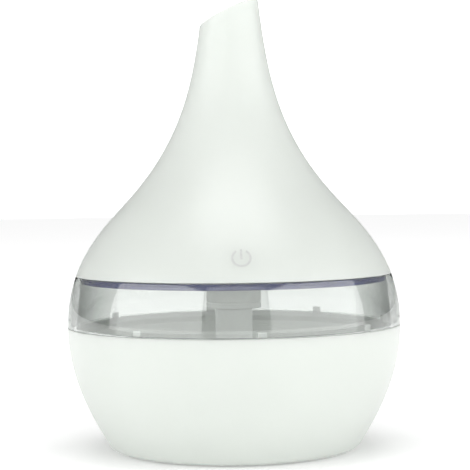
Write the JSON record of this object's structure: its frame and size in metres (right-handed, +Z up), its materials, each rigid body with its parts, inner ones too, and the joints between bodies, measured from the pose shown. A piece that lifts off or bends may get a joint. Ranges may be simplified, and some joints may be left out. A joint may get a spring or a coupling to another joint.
{
  "type": "cool mist humidifier",
  "caption": "Teardrop desktop cool mist humidifier with a clear window ring above the water bowl, a slanted mist mouth and a lift-off head with a cotton wick.",
  "frame": {"origin": "centre of the base, on the surface that the foot pads stand on", "axes": "+Z up along the body's axis; -Y towards the front, where the touch key is; +X to the right seen from the front"},
  "size_m": [0.1112, 0.1112, 0.1505],
  "materials": {
    "white_shell": "satin gloss moulded ABS, very slightly cool white",
    "white_inner": "fine matte moulded ABS",
    "clear_window": "clear polished polystyrene",
    "navy_silicone": "smooth navy silicone",
    "pale_silicone": "translucent white silicone",
    "foot_rubber": "matte grey rubber",
    "cotton": "pressed cotton fibre",
    "steel": "bright stainless steel",
    "piezo_ceramic": "sintered ceramic with a thin silver electrode",
    "circuit_board": "green solder mask",
    "black_component": "black moulded epoxy",
    "led_lens": "tinted clear lens",
    "lead_sleeve": "thin PVC lead insulation"
  },
  "bodies": {
    "base": {"lower_bowl": "white_shell", "window_ring": "clear_window", "window_gasket": "pale_silicone", "foot_pad_1": "foot_rubber", "foot_pad_2": "foot_rubber", "foot_pad_3": "foot_rubber", "foot_pad_4": "foot_rubber"},
    "seal": {"seal_ring": "navy_silicone"},
    "head": {"upper_shell": "white_shell", "head_plate": "white_inner", "plate_screw_1": "steel", "plate_screw_2": "steel", "plate_screw_3": "steel", "plate_screw_4": "steel", "disc_gasket": "pale_silicone", "piezo_ring": "piezo_ceramic", "mesh_plate": "steel", "mist_funnel": "white_inner", "neck_seal": "pale_silicone", "funnel_screw_1": "steel", "funnel_screw_2": "steel", "control_board": "circuit_board", "board_screw_1": "steel", "board_screw_2": "steel", "board_screw_3": "steel", "board_screw_4": "steel", "control_chip": "black_component", "power_inductor": "black_component", "filter_capacitor": "steel", "usb_socket": "steel", "touch_board": "circuit_board", "touch_spring": "steel", "indicator_led": "led_lens", "disc_lead_1": "lead_sleeve", "disc_lead_2": "lead_sleeve", "touch_lead": "lead_sleeve"},
    "filter": {"filter_tube": "white_inner", "wick_spring": "steel"},
    "wick": {"wick": "cotton"}
  },
  "joints": [
    {"name": "head_lift", "type": "slide", "parent": "base", "child": "seal", "axis": [0, 0, 1], "range_m": [0, 0.08]},
    {"name": "head_turn", "type": "hinge", "parent": "seal", "child": "head", "pos_m": [0, 0, 0.0573], "axis": [0, 0, 1], "continuous": true},
    {"name": "filter_turn", "type": "hinge", "parent": "head", "child": "filter", "pos_m": [0, 0, 0.0576], "axis": [0, 0, 1], "range_deg": [0, 60]},
    {"name": "wick_press", "type": "slide", "parent": "filter", "child": "wick", "axis": [0, 0, 1], "range_m": [-0.0035, 0], "stiffness_N_per_m": 150, "springref_m": 0.004, "deforming": ["wick_spring"]}
  ]
}
